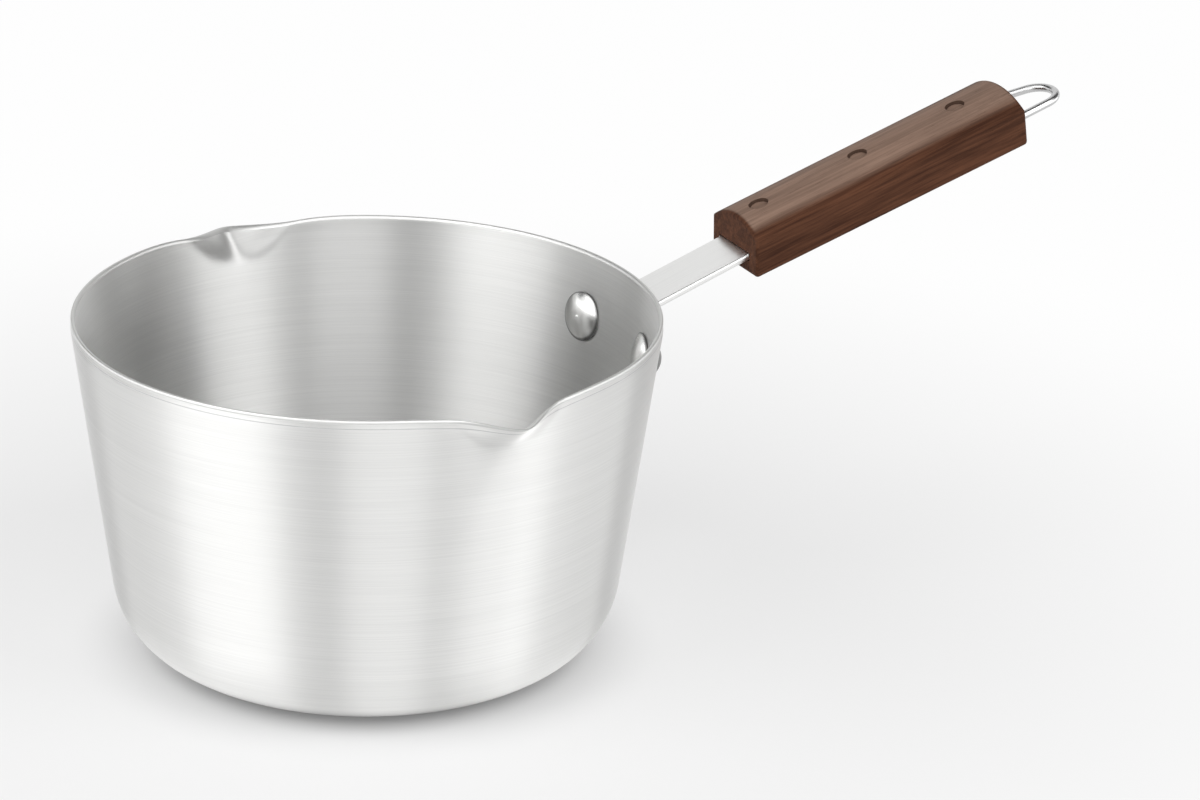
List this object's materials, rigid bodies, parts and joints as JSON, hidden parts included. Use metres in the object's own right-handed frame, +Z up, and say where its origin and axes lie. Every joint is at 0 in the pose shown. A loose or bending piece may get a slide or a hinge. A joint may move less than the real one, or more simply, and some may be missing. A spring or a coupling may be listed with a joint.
{
  "type": "milk pan",
  "caption": "Small straight-sided steel saucepan with two pouring spouts, a riveted strap bracket, a wooden grip and a wire hanging loop.",
  "frame": {"origin": "centre of the flat base's underside, on the pan's axis", "axes": "+Z up along the pan's axis, +X out along the handle, so the spouts point along Y but for 3.5 degrees"},
  "size_m": [0.262, 0.1548, 0.1206],
  "materials": {
    "pan_steel": "satin stainless steel, brushed round the wall, with a polished rim",
    "bracket_steel": "smooth half polished stainless steel",
    "rivet_steel": "polished stainless steel",
    "grip_wood": "dark oiled hardwood with streaky grain along the grip",
    "loop_steel": "polished stainless steel wire"
  },
  "bodies": {
    "root": {"pan_body": "pan_steel", "handle_bracket": "bracket_steel", "rivet_1": "rivet_steel", "rivet_2": "rivet_steel", "grip": "grip_wood", "tang_pin_1": "rivet_steel", "tang_pin_2": "rivet_steel", "tang_pin_3": "rivet_steel", "grip_plug_1": "grip_wood", "grip_plug_2": "grip_wood", "grip_plug_3": "grip_wood", "hanging_loop": "loop_steel"}
  },
  "joints": []
}
